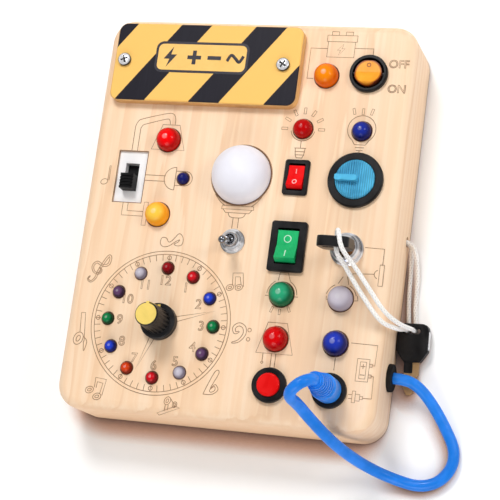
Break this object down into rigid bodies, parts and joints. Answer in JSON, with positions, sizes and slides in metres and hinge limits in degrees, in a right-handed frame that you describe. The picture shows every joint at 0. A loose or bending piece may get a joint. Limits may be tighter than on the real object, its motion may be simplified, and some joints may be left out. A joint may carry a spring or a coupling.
{
  "type": "busy board",
  "caption": "Wooden busy board for a toddler: rocker, toggle, slide, rotary and push switches, a key lock, tinted lamps and a plug on a looped cable.",
  "frame": {"origin": "centre of the flat back face, on the surface that the board lies on", "axes": "X across the board to the right, Y up the board, Z out of its face"},
  "size_m": [0.1656, 0.1869, 0.0638],
  "materials": {
    "board_wood": "satin",
    "panel_wood": "matt",
    "printed_wood": "printed satin",
    "screw_steel": "bright",
    "black_plastic": "moulded",
    "cell_wrap": "gloss",
    "contact_metal": "plated",
    "led_orange": "clear tinted",
    "led_red": "clear tinted",
    "led_blue": "clear tinted",
    "led_amber": "clear tinted",
    "led_green": "clear tinted",
    "led_clear": "clear",
    "led_purple": "clear tinted",
    "frosted_plastic": "frosted",
    "lamp_board": "matt",
    "amber_rocker": "translucent",
    "red_rocker": "translucent",
    "green_rocker": "translucent",
    "blue_knob": "translucent",
    "white_plastic": "moulded",
    "slide_handle": "moulded",
    "toggle_metal": "dark bright",
    "nut_metal": "bright",
    "lock_chrome": "mirror bright",
    "lock_rotor": "turned",
    "key_brass": "cut",
    "key_plastic": "moulded",
    "key_trim": "bright",
    "red_plastic": "gloss",
    "knob_plastic": "moulded",
    "cap_yellow": "matt",
    "cable_blue": "satin",
    "black_rubber": "matt",
    "string_white": "braided"
  },
  "bodies": {
    "board": {"wood_body": "board_wood", "back_panel": "panel_wood", "back_screws": "screw_steel", "cover_plate": "printed_wood", "cover_screws": "screw_steel", "battery_tray": "black_plastic", "battery_cells": "cell_wrap", "battery_contacts": "contact_metal", "led_orange": "led_orange", "leds_red": "led_red", "leds_blue": "led_blue", "led_amber": "led_amber", "led_green": "led_green", "led_clear": "led_clear", "clock_leds_red": "led_red", "clock_led_orange": "led_orange", "clock_leds_blue": "led_blue", "clock_leds_green": "led_green", "clock_leds_purple": "led_purple", "clock_leds_clear": "led_clear", "lamp_dome": "frosted_plastic", "lamp_board": "lamp_board", "lamp_led": "led_clear", "power_switch_housing": "black_plastic", "red_switch_housing": "black_plastic", "green_switch_housing": "black_plastic", "rotary_housing": "black_plastic", "slide_housing": "white_plastic", "toggle_housing": "toggle_metal", "toggle_washer": "nut_metal", "toggle_nut": "nut_metal", "lock_barrel": "lock_chrome", "spare_key_blade": "key_brass", "spare_key_head": "key_plastic", "spare_key_trim": "key_trim", "button_housing": "black_plastic", "button_spring": "contact_metal", "selector_switch": "toggle_metal", "selector_nut": "nut_metal", "socket_housing": "black_plastic", "panel_nuts": "nut_metal", "cable": "cable_blue", "cable_grommet": "black_rubber", "key_string": "string_white"},
    "power_rocker": {"power_rocker": "amber_rocker"},
    "red_rocker": {"red_rocker": "red_rocker"},
    "green_rocker": {"green_rocker": "green_rocker"},
    "rotary_knob": {"rotary_knob": "blue_knob"},
    "slide_handle": {"slide_handle": "slide_handle"},
    "toggle_lever": {"toggle_lever": "toggle_metal"},
    "lock_rotor": {"lock_rotor": "lock_rotor"},
    "key": {"key_blade": "key_brass", "key_head": "key_plastic", "key_trim": "key_trim"},
    "button_cap": {"button_cap": "red_plastic"},
    "selector_knob": {"selector_shaft": "contact_metal", "selector_knob": "knob_plastic", "selector_cap": "cap_yellow"},
    "plug": {"plug_boot": "cable_blue", "plug_barrel": "contact_metal"}
  },
  "joints": [
    {"name": "power_tilt", "type": "hinge", "parent": "board", "child": "power_rocker", "pos_m": [0.0488, 0.0632, 0.03], "axis": [1, 0, 0], "range_deg": [0, 20]},
    {"name": "red_tilt", "type": "hinge", "parent": "board", "child": "red_rocker", "pos_m": [0.02381, 0.01749, 0.03], "axis": [1, 0, 0], "range_deg": [0, 24]},
    {"name": "green_tilt", "type": "hinge", "parent": "board", "child": "green_rocker", "pos_m": [0.02411, -0.01189, 0.03], "axis": [1, 0, 0], "range_deg": [0, 22]},
    {"name": "rotary_turn", "type": "hinge", "parent": "board", "child": "rotary_knob", "pos_m": [0.0488, 0.01762, 0.03], "axis": [0, 0, 1], "range_deg": [-90, 0]},
    {"name": "slide_travel", "type": "slide", "parent": "board", "child": "slide_handle", "axis": [0, 1, 0], "range_m": [0, 0.0056]},
    {"name": "toggle_throw", "type": "hinge", "parent": "board", "child": "toggle_lever", "pos_m": [0.00029, -0.01099, 0.0331], "axis": [1, 0, 0], "range_deg": [-28, 0]},
    {"name": "lock_turn", "type": "hinge", "parent": "board", "child": "lock_rotor", "pos_m": [0.0488, -0.01139, 0.03], "axis": [0, 0, 1], "range_deg": [-90, 0]},
    {"name": "key_pull", "type": "slide", "parent": "lock_rotor", "child": "key", "axis": [0, -0.1132, 0.9936], "range_m": [0, 0.016], "deforming": ["key_string"]},
    {"name": "button_press", "type": "slide", "parent": "board", "child": "button_cap", "axis": [0, 0, -1], "range_m": [0, 0.0018], "stiffness_N_per_m": 600, "springref_m": -0.0005, "deforming": ["button_spring"]},
    {"name": "selector_turn", "type": "hinge", "parent": "board", "child": "selector_knob", "pos_m": [-0.0259, -0.0471, 0.03], "axis": [0, 0, 1], "range_deg": [-330, 0]},
    {"name": "plug_pull", "type": "slide", "parent": "board", "child": "plug", "axis": [0, 0, 1], "range_m": [0, 0.012], "deforming": ["cable"]}
  ]
}
